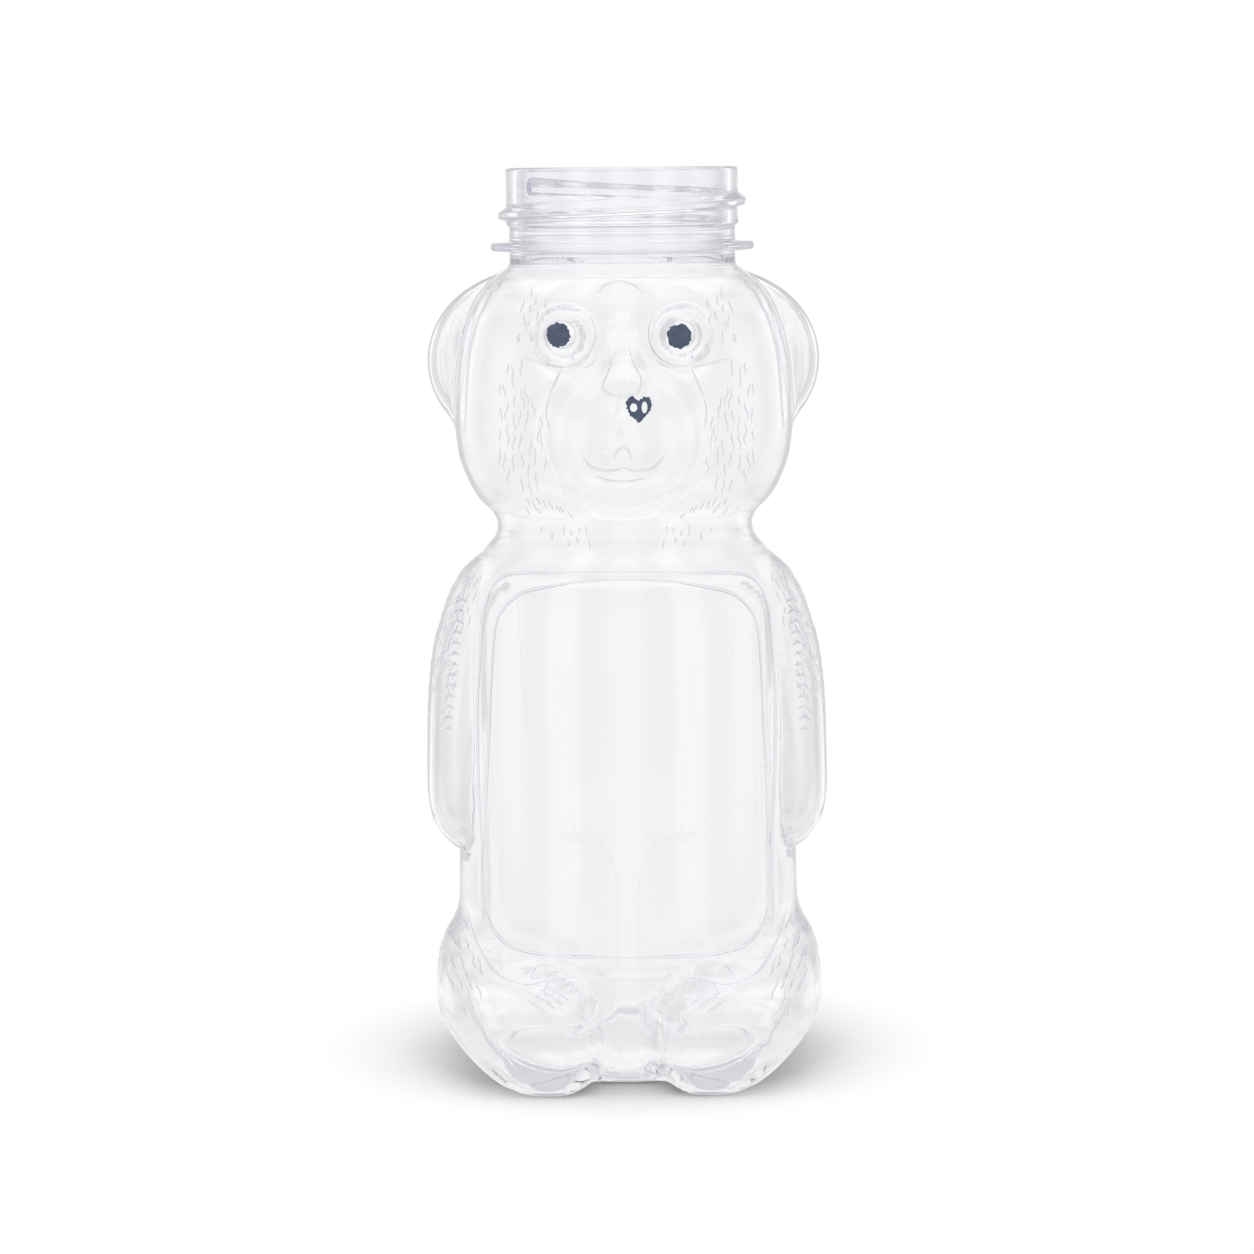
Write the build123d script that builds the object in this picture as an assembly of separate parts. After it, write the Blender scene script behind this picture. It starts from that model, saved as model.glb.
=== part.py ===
from build123d import *
from math import cos, pi, sin
import os

# Clear blow-moulded honey bear bottle, in millimetres, +Z up. The origin is on the axis of the neck, on the
# surface that the bottle stands on. The bear faces -Y, and its left and right are those of the viewer.

# Trunk: height of the body up to the neck finish, the short collar under the finish, and the head
body_height = 121.0
collar_height = 1.2
head_height = 39.2

# Trunk: full widths, and how far each part reaches in front of the axis and behind it
base_width = 48.0
base_front = 27.0
base_back = 22.0
waist_width = 52.0
waist_front = 26.5
waist_back = 24.0
chest_width = 51.0
chest_front = 24.5
chest_back = 23.0
chin_width = 39.0
chin_front = 18.8
chin_back = 18.8
head_width = 51.0
head_front = 23.5
head_back = 23.0

# Wall of the blown shell, and the overrun that carries every cut past the face it opens
wall = 0.6
overrun = 2.0

# Ears: hollow discs with a rounded rim and a dished front. A rise is a height above the chin
ear_offset = 14.3
ear_rise = 24.9
ear_set_back = 1.0
ear_radius_across = 15.3
ear_radius_up = 13.4
ear_thickness = 7.0
ear_dish = 0.8

# Arms, from the fist up to the shoulder, which is a little below the chin
arm_length = 46.2
shoulder_drop = 2.8
arm_offset = 24.3
arm_width = 12.7
arm_depth = 19.5
arm_swing = 4.5

# Legs, seated, from the toes back to the hip
leg_length = 51.0
leg_toe_reach = 36.0
leg_offset = 16.9
leg_width = 25.0
leg_axis_level = 13.2
leg_top = 25.0
leg_bottom = 1.4
sole_level = 0.3

# Muzzle, nose and eyes
muzzle_rise = 15.0
muzzle_width = 24.4
muzzle_height = 23.0
muzzle_length = 9.5
muzzle_reach = 28.6
nose_rise = 25.8
nose_width = 6.4
nose_height = 8.2
nose_length = 6.0
nose_reach = 26.2
eye_offset = 8.5
eye_rise = 29.4
eye_width = 4.8
eye_length = 2.4
eye_stand = 1.0

# Label panel, sunk into the belly, from below the chin to above the floor
panel_width = 43.6
panel_drop = 6.6
panel_bottom = 16.5
panel_corner = 8.0
panel_depth = 0.9

# Base: a flat contact ring round a push-up, with a gate dimple at its middle
foot_ring_radius = 20.0
foot_ring_width = 2.2
push_up_height = 2.4
dimple_radius = 5.2
dimple_height = 1.2

# Neck finish for a 38 mm screw cap
finish_height = 13.5
finish_diameter = 34.9
neck_diameter = 34.0
bore_diameter = 31.9
step_drop = 8.7
ring_diameter = 39.7
ring_thickness = 1.3
ring_drop = 11.1
lip_bevel = 0.4

# Printed eyes and nose
print_thickness = 0.15
eye_print_radius = 1.75
nose_print_radius = 1.8
nose_print_offset = 2.2
nose_print_rise = 19.7

# Levels of the head, the limbs and the panel, all hung from the top of the body
crown_level = body_height - collar_height
chin_level = crown_level - head_height
arm_fist_level = chin_level - shoulder_drop - arm_length
panel_top = chin_level - panel_drop

# Straight sides of the ovals that the shell is lofted through, outside it and inside it
trunk_sides = 36
limb_sides = 20
nose_sides = 12
inside_sides_share = 0.5

# Torso, floor to chin. Each row: the share of the chin's level, then the shares of the width, of the front
# reach and of the back reach of its own part of the trunk
base_row_shares = [
    (0.0, 0.93, 0.94, 0.92),
    (0.035, 1.0, 1.0, 1.0),
]
waist_row_shares = [
    (0.12, 0.985, 1.04, 1.0),
    (0.24, 1.0, 1.02, 1.0),
    (0.37, 1.0, 1.0, 1.0),
]
chest_row_shares = [
    (0.60, 1.0, 1.0, 1.0),
    (0.78, 0.99, 0.98, 0.98),
    (0.885, 0.95, 0.93, 0.94),
    (0.945, 0.87, 0.85, 0.87),
]

# Head, chin to crown. Each row: the share of the head's height, then the shares of its width and reaches
head_row_shares = [
    (0.06, 0.80, 0.84, 0.84),
    (0.14, 0.90, 0.92, 0.91),
    (0.25, 0.97, 0.975, 0.96),
    (0.42, 1.0, 1.0, 1.0),
    (0.62, 0.985, 0.97, 0.99),
    (0.80, 0.93, 0.91, 0.93),
    (0.91, 0.845, 0.84, 0.85),
    (0.97, 0.755, 0.78, 0.79),
]

# Ears, back to front: the share of half the thickness, then the share of the two radii
ear_row_shares = [(-1.0, 0.87), (-0.5, 0.98), (0.5, 0.98), (1.0, 0.87)]
ear_dish_shares = (0.72, 0.82)

# Arms, fist to shoulder: the shares of the length, of the offset, of the width, of the depth and of the swing
arm_row_shares = [
    (0.0, 0.93, 0.50, 0.52, 1.0),
    (0.05, 0.955, 0.80, 0.76, 1.0),
    (0.14, 0.99, 0.96, 0.90, 0.95),
    (0.40, 1.0, 1.0, 0.92, 0.6),
    (0.68, 0.965, 0.97, 1.0, 0.2),
    (0.86, 0.91, 0.85, 0.92, 0.0),
    (1.0, 0.83, 0.56, 0.60, 0.0),
]

# Legs, toes to hip: the shares of the length, of the offset, of the width, of the axis level, and of the reaches
# up and down
leg_row_shares = [
    (0.0, 0.885, 0.58, 0.77, 0.365, 0.45),
    (0.06, 0.895, 0.82, 0.80, 0.49, 0.71),
    (0.18, 0.925, 0.93, 0.87, 0.51, 0.885),
    (0.38, 0.98, 0.985, 0.97, 0.59, 0.97),
    (0.58, 0.99, 1.0, 1.0, 0.87, 1.0),
    (0.74, 1.0, 1.0, 1.0, 1.0, 1.0),
    (0.89, 0.96, 0.87, 0.98, 0.86, 0.85),
    (1.0, 0.91, 0.62, 0.95, 0.55, 0.62),
]

# Domes: the share of the length, then the share of the radii
dome_row_shares = [(0.0, 1.0), (0.40, 0.92), (0.72, 0.70), (0.93, 0.38), (1.0, 0.14)]


def oval(half_width, front, back, sides, inset):
    """An egg-shaped face, widest on the axis and reaching forward along -Y, drawn in all round by the inset."""
    if inset > 0:
        sides = round(sides * inside_sides_share)
    corners = []
    for step in range(sides):
        angle = 2 * pi * step / sides
        reach = back if angle < pi else front
        corners.append(((half_width - inset) * cos(angle), (reach - inset) * sin(angle)))
    return make_face(Polyline(*corners, close=True))


def chin(inset):
    """The collar where the torso meets the head."""
    return Pos(0, 0, chin_level) * oval(chin_width / 2, chin_front, chin_back, trunk_sides, inset)


def torso(inset):
    """The trunk from the floor to the chin, without limbs."""
    rows = []
    parts = [
        (base_row_shares, base_width, base_front, base_back),
        (waist_row_shares, waist_width, waist_front, waist_back),
        (chest_row_shares, chest_width, chest_front, chest_back),
    ]
    for shares, width, front, back in parts:
        for level, wide, ahead, behind in shares:
            face = oval(width / 2 * wide, front * ahead, back * behind, trunk_sides, inset)
            rows.append(Pos(0, 0, inset + (chin_level - inset) * level) * face)
    rows.append(chin(inset))
    return loft(rows, ruled=True)


def head(inset):
    """The head from the chin to the crown, where it takes the round of the neck."""
    height = head_height - inset
    rows = [chin(inset)]
    for level, wide, ahead, behind in head_row_shares:
        face = oval(head_width / 2 * wide, head_front * ahead, head_back * behind, trunk_sides, inset)
        rows.append(Pos(0, 0, chin_level + height * level) * face)
    neck = neck_diameter / 2
    rows.append(Pos(0, 0, chin_level + height) * oval(neck, neck, neck, trunk_sides, inset))
    return loft(rows, ruled=True)


def ear(inset, side):
    """A flat disc with a rounded rim and a dished front."""
    half = ear_thickness / 2 - inset
    rows = []
    for along, share in ear_row_shares:
        across = ear_radius_across * share
        up = ear_radius_up * share
        rows.append(Plane.XZ.offset(half * along) * oval(across, up, up, limb_sides, inset))
    bottom_share, top_share = ear_dish_shares
    dish = []
    for reach, share in ((half - ear_dish, bottom_share), (half, top_share)):
        across = (ear_radius_across - inset) * share
        up = (ear_radius_up - inset) * share
        dish.append(Plane.XZ.offset(reach) * oval(across + inset, up + inset, up + inset, limb_sides, inset))
    disc = loft(rows, ruled=True) - loft(dish, ruled=True)
    return Pos(side * ear_offset, ear_set_back, chin_level + ear_rise) * disc


def arm(inset, side):
    """An arm that hangs at the side, from the fist up to the shoulder."""
    rows = []
    for along, out, wide, deep, swing in arm_row_shares:
        level = arm_fist_level + inset + (arm_length - 2 * inset) * along
        half_depth = arm_depth / 2 * deep
        face = oval(arm_width / 2 * wide, half_depth, half_depth, limb_sides, inset)
        rows.append(Pos(side * arm_offset * out, -arm_swing * swing, level) * face)
    return loft(rows, ruled=True)


def leg(inset, side):
    """A seated leg, from the toes back to the hip, cut flat under the sole."""
    rows = []
    for along, out, wide, lift, rise, fall in leg_row_shares:
        reach = leg_toe_reach - inset - (leg_length - 2 * inset) * along
        up = (leg_top - leg_axis_level) * rise
        down = (leg_axis_level + leg_bottom) * fall
        face = oval(leg_width / 2 * wide, down, up, limb_sides, inset)
        rows.append(Plane.XZ.offset(reach) * Pos(side * leg_offset * out, leg_axis_level * lift) * face)
    whole = loft(rows, ruled=True)
    return split(whole, Plane.XY.offset(sole_level + inset))


def dome(width, height, length, sides, tip, inset):
    """A round bump along -Y that ends at its tip."""
    rows = []
    for along, share in dome_row_shares:
        half_width = (width / 2 - inset) * share + inset
        half_height = (height / 2 - inset) * share + inset
        face = oval(half_width, half_height, half_height, sides, inset)
        rows.append(Plane.XZ.offset(-length + (length - inset) * along) * face)
    return tip * loft(rows, ruled=True)


def muzzle(inset):
    tip = Pos(0, -muzzle_reach, chin_level + muzzle_rise)
    return dome(muzzle_width, muzzle_height, muzzle_length, limb_sides, tip, inset)


def nose():
    tip = Pos(0, -nose_reach, chin_level + nose_rise)
    return dome(nose_width, nose_height, nose_length, nose_sides, tip, 0)


def eye_place(side):
    """The middle of an eye's flat front, which stands out of the head as far as named."""
    level = chin_level + eye_rise
    sight = Axis((side * eye_offset, -2 * head_front, level), (0, 1, 0))
    surface = head(0).find_intersection_points(sight)[0][0]
    return Pos(side * eye_offset, surface.Y - eye_stand, level)


def eye(side):
    """A round pad with a flat front."""
    return eye_place(side) * extrude(Plane.XZ * Circle(eye_width / 2), -eye_length)


def panel(inset):
    """What is cut from the front of the belly to sink the label panel."""
    height = panel_top - panel_bottom
    grown = RectangleRounded(panel_width + 2 * inset, height + 2 * inset, panel_corner + inset)
    block = extrude(Plane.XZ * Pos(0, (panel_top + panel_bottom) / 2) * grown, 2 * waist_front)
    return block - torso(inset + panel_depth)


def push_up(inset):
    """The hollow pressed into the base inside the contact ring, with the gate dimple above it."""
    hollow = Cylinder(foot_ring_radius - foot_ring_width / 2 + inset, 2 * (push_up_height + inset))
    dimple = Cylinder(dimple_radius + inset, 2 * (push_up_height + dimple_height + inset))
    return hollow + dimple


def bear_form(inset):
    """The whole bear as one closed form, drawn in by the inset."""
    form = torso(inset) - panel(inset)
    form += head(inset)
    for side in (-1, 1):
        form += ear(inset, side)
        form += arm(inset, side)
        form += leg(inset, side)
    form += muzzle(inset)
    return form - push_up(inset)


def bear_body():
    """The thin blown shell, open at the top where the neck finish sits."""
    collar = Pos(0, 0, crown_level) * extrude(Circle(neck_diameter / 2), collar_height)
    throat_depth = collar_height + 2 * wall
    throat = Pos(0, 0, body_height - throat_depth) * extrude(Circle(bore_diameter / 2), throat_depth + overrun)
    outside = bear_form(0) + collar + nose() + eye(-1) + eye(1)
    return outside - (bear_form(wall) + throat)


def neck_finish():
    """The ring-shaped finish: lip, threaded zone, step, support ring and the seat on the body."""
    lip = body_height + finish_height
    bore = bore_diameter / 2
    land = finish_diameter / 2
    neck = neck_diameter / 2
    ring = ring_diameter / 2
    outline = Polyline(
        (bore, body_height),
        (neck, body_height),
        (neck, lip - ring_drop - ring_thickness),
        (ring, lip - ring_drop - ring_thickness),
        (ring, lip - ring_drop),
        (neck, lip - ring_drop),
        (neck, lip - step_drop),
        (land, lip - step_drop),
        (land, lip - lip_bevel),
        (land - lip_bevel, lip),
        (bore, lip),
        close=True,
    )
    return revolve(Plane.XZ * make_face(outline), Axis.Z)


def eye_print(side):
    """A thin round print on the flat of an eye."""
    return eye_place(side) * extrude(Plane.XZ * Circle(eye_print_radius), print_thickness)


def nose_print():
    """A thin round print below the nose, off the centre as printed."""
    skin = muzzle(-print_thickness) - muzzle(0)
    place = Pos(nose_print_offset, chin_level + nose_print_rise)
    return skin & extrude(Plane.XZ * place * Circle(nose_print_radius), 2 * muzzle_reach)


pieces = {
    "neck_finish": neck_finish(),
    "bear_body": bear_body(),
    "left_eye_print": eye_print(-1),
    "right_eye_print": eye_print(1),
    "nose_print": nose_print(),
}

os.makedirs("parts", exist_ok=True)
for name, piece in pieces.items():
    piece.label = name
    export_step(piece, f"parts/{name}.step")
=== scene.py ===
from math import cos, pi, radians, sin

import bpy
import numpy as np
from bpy.props import FloatProperty, FloatVectorProperty, IntProperty, PointerProperty
from mathutils import Euler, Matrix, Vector
from mathutils.bvhtree import BVHTree


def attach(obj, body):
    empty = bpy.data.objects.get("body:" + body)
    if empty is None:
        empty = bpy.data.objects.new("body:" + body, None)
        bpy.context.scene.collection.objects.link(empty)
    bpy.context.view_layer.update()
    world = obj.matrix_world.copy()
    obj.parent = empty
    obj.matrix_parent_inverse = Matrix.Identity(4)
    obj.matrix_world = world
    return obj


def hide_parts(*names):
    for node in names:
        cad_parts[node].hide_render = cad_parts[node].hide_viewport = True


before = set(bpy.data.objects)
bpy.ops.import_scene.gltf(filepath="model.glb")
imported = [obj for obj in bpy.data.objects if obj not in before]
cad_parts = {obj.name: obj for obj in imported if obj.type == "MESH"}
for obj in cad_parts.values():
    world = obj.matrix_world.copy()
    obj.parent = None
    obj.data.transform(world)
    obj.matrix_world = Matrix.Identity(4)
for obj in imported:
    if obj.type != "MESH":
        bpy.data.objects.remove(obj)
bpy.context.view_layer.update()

bl_info = {
    "name": "Clear honey bear bottle",
    "version": (1, 0, 0),
    "blender": (4, 5, 0),
    "location": "3D View > Sidebar > Bear bottle",
    "description": "Builds a clear blow-moulded honey bear bottle on its CAD frame",
    "category": "Add Mesh",
}

# Sizes here are in millimetres, with the origin on the axis of the neck where the bottle stands.
# The bear faces -Y.
MM = 0.001

# The photograph's camera, worked out from the ellipses of the lip, the support ring and the base
CAMERA_PLACE = (0.18, -560.0, 134.9)
CAMERA_PITCH = 7.13
CAMERA_ROLL = -0.53
FOCAL_PIXELS = 3700.0
IMAGE_SIDE = 1254.0
SENSOR_WIDTH = 36.0


# Tools for tables and forms


def smooth_table(rows):
    """A smooth function through the rows (place, value, ...) that never swings past them."""
    rows = np.array(rows, float)
    places, values = rows[:, 0], rows[:, 1:]
    gaps = np.diff(places)[:, None]
    slopes = np.diff(values, axis=0) / gaps
    turns = np.zeros_like(values)
    same = slopes[:-1] * slopes[1:] > 0
    first, second = 2 * gaps[1:] + gaps[:-1], gaps[1:] + 2 * gaps[:-1]
    with np.errstate(divide="ignore", invalid="ignore"):
        middle = (first + second) / (first / slopes[:-1] + second / slopes[1:])
    turns[1:-1] = np.where(same, middle, 0.0)
    turns[0], turns[-1] = slopes[0], slopes[-1]

    def read(where):
        where = np.clip(np.asarray(where, float), places[0], places[-1])
        index = np.clip(np.searchsorted(places, where, side="right") - 1, 0, len(places) - 2)
        width = (places[index + 1] - places[index])[..., None]
        share = (where - places[index])[..., None] / width
        left, right = values[index], values[index + 1]
        result = (
            (2 * share ** 3 - 3 * share ** 2 + 1) * left
            + (share ** 3 - 2 * share ** 2 + share) * width * turns[index]
            + (3 * share ** 2 - 2 * share ** 3) * right
            + (share ** 3 - share ** 2) * width * turns[index + 1]
        )
        return np.moveaxis(result, -1, 0)

    return read


def ease(value, low, high):
    """0 below low and 1 above high, with a smooth climb between."""
    share = np.clip((value - low) / (high - low), 0.0, 1.0)
    return share * share * (3 - 2 * share)


def oval_gap(across, along, radius_across, radius_along, power=2.0):
    """About how far a point is outside an oval, negative inside it."""
    radius_across = np.maximum(radius_across, 0.01)
    radius_along = np.maximum(radius_along, 0.01)
    total = np.abs(across / radius_across) ** power + np.abs(along / radius_along) ** power
    reach = total ** (1 / power)
    pull = np.hypot(across / radius_across ** 2, along / radius_along ** 2)
    return (reach - 1) * reach / np.maximum(pull, 1e-6)


def rounded(first, second, radius):
    """The form inside both of two others, grown by a radius that also rounds its edge."""
    corner = np.hypot(np.maximum(first, 0), np.maximum(second, 0))
    return corner + np.minimum(np.maximum(first, second), 0) - radius


def merge(first, second, soft):
    """The union of two forms, with a fillet about as wide as the soft value."""
    share = np.clip(0.5 + 0.5 * (second - first) / soft, 0.0, 1.0)
    return second * (1 - share) + first * share - soft * share * (1 - share)


# The bear's forms, each as a distance that is negative inside it

# Distance that a form gives past the end of its table
OUTSIDE = 9.0

# Level, half width, reach in front of the axis, reach behind it
TRUNK = smooth_table([
    (0, 22.3, 25.4, 20.4), (1.2, 23.4, 26.5, 21.5), (2.8, 24.1, 27.1, 22.2),
    (9.7, 25.6, 27.5, 23.9), (19.3, 26, 27, 24), (29.8, 25.8, 26.5, 24),
    (48.4, 25.5, 24.8, 23.2), (62.9, 25.2, 24, 22.5), (69, 24.7, 23.2, 22),
    (73.6, 23.4, 22, 21), (77, 21.5, 20.3, 19.8), (79.4, 19.6, 18.9, 18.9),
    (81, 19.3, 18.6, 18.6), (82.6, 19.9, 19.2, 19.1), (84.8, 22, 20.9, 20.5),
    (87.3, 23.5, 22, 21.6), (91.9, 25.1, 23.2, 22.6), (97.1, 25.6, 23.5, 23),
    (104.9, 25.1, 22.8, 22.8), (110, 24.1, 21.8, 21.8), (114, 22.7, 20.6, 20.6),
    (117, 20.6, 19.2, 19.1), (118.8, 18.5, 18, 18), (119.8, 17.3, 17.3, 17.3),
    (120.6, 17, 17, 17), (123, 17, 17, 17),
])

# Level, place of the middle across, in depth, then the squares of the two half widths
ARM_ROWS = [
    (31.3, 22.6, -4.3, 0, 0), (32.4, 23, -4.4, 12, 30), (34.6, 23.7, -4.4, 23, 58),
    (37, 24.1, -4.3, 32, 74), (41.2, 24.3, -3.9, 37, 84), (48.2, 24.2, -2.8, 38, 84),
    (55, 23.95, -1.7, 38.5, 88), (62.1, 23.3, -0.8, 37, 92), (66.7, 22.4, -0.3, 33, 86),
    (71.3, 21.2, 0, 27, 70), (74.5, 19.8, 0, 20, 48), (77.8, 17.5, 0, 0, 0),
]
ARM = smooth_table(ARM_ROWS)

# Place along the depth, then the middle across, the square of the half width, the level of the
# leg's axis, and the squares of its rise and fall from there
LEG_ROWS = [
    (-36, 14.6, 0, 9, 0, 0), (-35.4, 14.7, 30, 9.3, 14, 26),
    (-34, 14.9, 66, 10, 21, 92), (-30, 15.4, 108, 10.8, 32.5, 130),
    (-26, 15.9, 130, 11.5, 37, 166), (-20, 16.4, 150, 12.5, 46, 193),
    (-12, 16.7, 149, 13.3, 84, 216), (-3, 16.8, 152, 13.8, 124, 231),
    (5, 16.7, 146, 13.5, 108, 210), (11, 16, 110, 12.5, 79, 156),
    (16.5, 15, 0, 11.5, 0, 0),
]
LEG = smooth_table(LEG_ROWS)

# How far in the sole leans, over what drop under the leg's axis, and how square its oval is
LEG_LEAN = 3.2
LEG_LEAN_DROP = 11.0
SOLE_POWER = 2.3

EAR_MIDDLE = (14.3, 1, 105.6)
EAR_RADII = (15.3, 13.6)
EAR_HALF_THICKNESS = 3.5
EAR_RIM = 2.6
EAR_DISH = 0.5
EAR_DISH_SLOPE = (-0.6, 5.0)

MUZZLE_MIDDLE = (0.0, -19.1, 95.6)
MUZZLE_RADII = (12.2, 9.4, 11.5)
MUZZLE_POWER = 2.3
MUZZLE_SCALE = 10.0
MUZZLE_BACK = -8

# Flat of the eye and the groove round it, each with the distances over which its edge slopes
EYE_PLACE = (8.5, 110.0)
EYE_RISE = 0.9
EYE_EDGE = (1.8, 3.2)
GROOVE_DEPTH = 0.7
GROOVE_RADIUS = 3.6
GROOVE_EDGE = (0.3, 1.3)

# Place, radii and height of the nose's bridge and of its tip
NOSE_BUMPS = [((0.0, 106.6), (4.2, 5.8), 2.4), ((0.0, 101.2), (4.2, 3.4), 1.0)]

PANEL_HALF_WIDTH = 22.0
PANEL_LEVELS = (16.0, 74.6)
PANEL_CORNER = 8.0
PANEL_DEPTH = 0.9
PANEL_EDGE = (-1.4, 0.0)

# Width of the fillet where each form meets the rest
EAR_FILLET = 1.2
MUZZLE_FILLET = 1.6
ARM_FILLET = 1.4
LEG_FILLET = 1.8


def trunk_form(x, y, z):
    """Head and torso, as ovals round the axis."""
    half, front, back = TRUNK(z)
    return oval_gap(x, y, half, np.where(y < 0, front, back))


def arm_form(x, y, z):
    """Both arms, hanging at the sides."""
    across, depth, wide, deep = ARM(z)
    wide, deep = np.sqrt(np.maximum(wide, 0)), np.sqrt(np.maximum(deep, 0))
    gap = oval_gap(np.abs(x) - across, y - depth, wide, deep)
    return np.where((z > ARM_ROWS[0][0]) & (z < ARM_ROWS[-1][0]), gap, OUTSIDE)


def leg_form(x, y, z):
    """Both legs from the thigh to the toes, with squarer ovals under their axis for the soles."""
    across, wide, axis, rise, fall = LEG(y)
    up = z > axis
    height = np.sqrt(np.maximum(np.where(up, rise, fall), 0))
    half = np.sqrt(np.maximum(wide, 0))
    sides = np.abs(x) - across + LEG_LEAN * ease(axis - z, 0.0, LEG_LEAN_DROP)
    upper = oval_gap(sides, z - axis, half, height)
    lower = oval_gap(sides, z - axis, half, height, SOLE_POWER)
    within = (y > LEG_ROWS[0][0]) & (y < LEG_ROWS[-1][0])
    return np.where(within, np.where(up, upper, lower), OUTSIDE)


def ear_form(x, y, z):
    """Both ears: flat round discs with a full rim, dished more on their front."""
    disc = oval_gap(np.abs(x) - EAR_MIDDLE[0], z - EAR_MIDDLE[2],
                    EAR_RADII[0] - EAR_RIM, EAR_RADII[1] - EAR_RIM)
    depth = y - EAR_MIDDLE[1]
    dish = EAR_DISH * ease(-disc, *EAR_DISH_SLOPE)
    half = EAR_HALF_THICKNESS - np.where(depth < 0, dish, 0.5 * dish) - EAR_RIM
    return rounded(disc, np.abs(depth) - half, EAR_RIM)


def muzzle_form(x, y, z):
    """The muzzle: a blunt dome on the front of the head."""
    across = (x - MUZZLE_MIDDLE[0]) / MUZZLE_RADII[0]
    round_share = np.hypot(across, (z - MUZZLE_MIDDLE[2]) / MUZZLE_RADII[2])
    ahead = np.maximum(MUZZLE_MIDDLE[1] - y, 0) / MUZZLE_RADII[1]
    total = round_share ** MUZZLE_POWER + ahead ** MUZZLE_POWER
    return np.where(y < MUZZLE_BACK, (total ** (1 / MUZZLE_POWER) - 1) * MUZZLE_SCALE, OUTSIDE)


def front_relief(x, y, z):
    """How far the front of the bear stands out for its eyes and nose, and in for its panel."""
    side = np.abs(x)
    eye = np.hypot(side - EYE_PLACE[0], z - EYE_PLACE[1])
    relief = EYE_RISE * (1 - ease(eye, *EYE_EDGE))
    relief = relief - GROOVE_DEPTH * (1 - ease(np.abs(eye - GROOVE_RADIUS), *GROOVE_EDGE))
    for place, radii, height in NOSE_BUMPS:
        share = np.hypot((x - place[0]) / radii[0], (z - place[1]) / radii[1])
        relief = relief + height * (1 - ease(share, 0.0, 1.0))
    low, high = PANEL_LEVELS
    beside = side - (PANEL_HALF_WIDTH - PANEL_CORNER)
    above = np.abs(z - (low + high) / 2) - ((high - low) / 2 - PANEL_CORNER)
    panel = rounded(beside, above, PANEL_CORNER)
    relief = relief - PANEL_DEPTH * (1 - ease(panel, *PANEL_EDGE))
    return np.where(y < 0, relief, 0.0)


def bear_form(x, y, z):
    """The outside of the whole bear under its neck."""
    form = trunk_form(x, y, z)
    form = merge(form, ear_form(x, y, z), EAR_FILLET)
    form = merge(form, muzzle_form(x, y, z), MUZZLE_FILLET)
    form = form - front_relief(x, y, z)
    form = merge(form, arm_form(x, y, z), ARM_FILLET)
    return merge(form, leg_form(x, y, z), LEG_FILLET)


# The shell: rings of points from the middle of the base up to the lip and down the inside

# Half the length of the line across the axis that the columns of points fan out from
FAN = 12.0

# How much closer the columns are beside the ears and between the feet, and how widely
EAR_CROWD = (1.3, 0.30)
FEET_CROWD = (0.7, 0.5)

# Reaches that are tried along a column, and how often the last step inside the bear is halved
REACHES = np.linspace(1, 46, 91)
HALVINGS = 14

# Neck, from the collar up to the lip and into the bore: level, radius
NECK_FOOT = [
    (120.6, 17), (121.4, 17), (122.05, 17.05), (122.12, 19.5), (122.3, 19.8), (122.75, 19.85),
    (123.2, 19.8), (123.38, 19.5), (123.45, 17.3), (123.6, 17.1), (124.2, 17), (125, 17),
    (125.6, 17.02), (125.8, 17.2), (126, 17.42),
]
NECK_TOP = [
    (134.1, 17.45), (134.3, 17.38), (134.45, 17.22), (134.5, 17), (134.5, 16.4), (134.45, 16.12),
    (134.3, 15.98), (134, 15.95),
]
THREADED_LEVELS = np.arange(126.2, 134, 0.2)
THREADED_RADIUS = 17.45
COLLAR_RADIUS = 17.0
BORE_RADIUS = 15.95
BORE_LEVELS = (132, 127, 122, 120.2)

# The thread: level of its crest at the start, half the crest's width, widths of its two slopes,
# and in turns where it rises at its start and how long it sinks at its end
THREAD_START = 131.5
CREST_HALF_WIDTH = 0.45
SLOPE_ABOVE = 1.0
SLOPE_UNDER = 0.4
THREAD_LEAD_IN = (0.062, 0.084)
THREAD_LEAD_OUT = 0.12
THREAD_LAPS = 3

# Levels of the rings over the bear, closer together at the soles, the chin and the crown
BODY_LEVELS = np.concatenate([
    [0.33, 0.38, 0.46, 0.58, 0.75, 0.97, 1.25, 1.6, 2, 2.5, 3.1, 3.8, 4.5],
    np.arange(5.1, 30, 0.66), np.arange(30, 36, 0.5), np.arange(36, 76, 0.74),
    np.arange(76, 87, 0.5), np.arange(87, 117, 0.56), np.arange(117, 120.5, 0.3),
])

# Radius and level of the rings from the edge of the base to its middle, outside and inside
BASE_OUTSIDE = [
    (21.4, 0.28), (21.1, 0.02), (21, 0), (19.6, 0), (19.3, 0.03), (18.9, 0.35), (18.2, 0.9),
    (17, 1.45), (15, 2), (12, 2.6), (9, 3.05), (6, 3.4), (3, 3.62), (0.7, 3.7),
]
BASE_INSIDE = [
    (20.4, 0.68), (19.6, 0.78), (18.9, 1.2), (18, 1.7), (16.6, 2.2), (14.5, 2.75), (11.5, 3.35),
    (8.5, 3.8), (5.5, 4.1), (2.5, 4.28),
]
MIDDLE_OUTSIDE = (0, 0, 3.7)
MIDDLE_INSIDE = (0, 0, 4.3)

# Where the bear is slimmer than such a ring, the ring follows it, drawn in by this share of its
# own distance from the edge
BASE_EDGE = 22
BASE_DRAW_IN = 0.05

# The inside has a ring for every third one outside, up to this level, and stays this far from it
INSIDE_STEP = 3
INSIDE_TOP = 118.9
LEAST_WALL = 0.18


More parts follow.
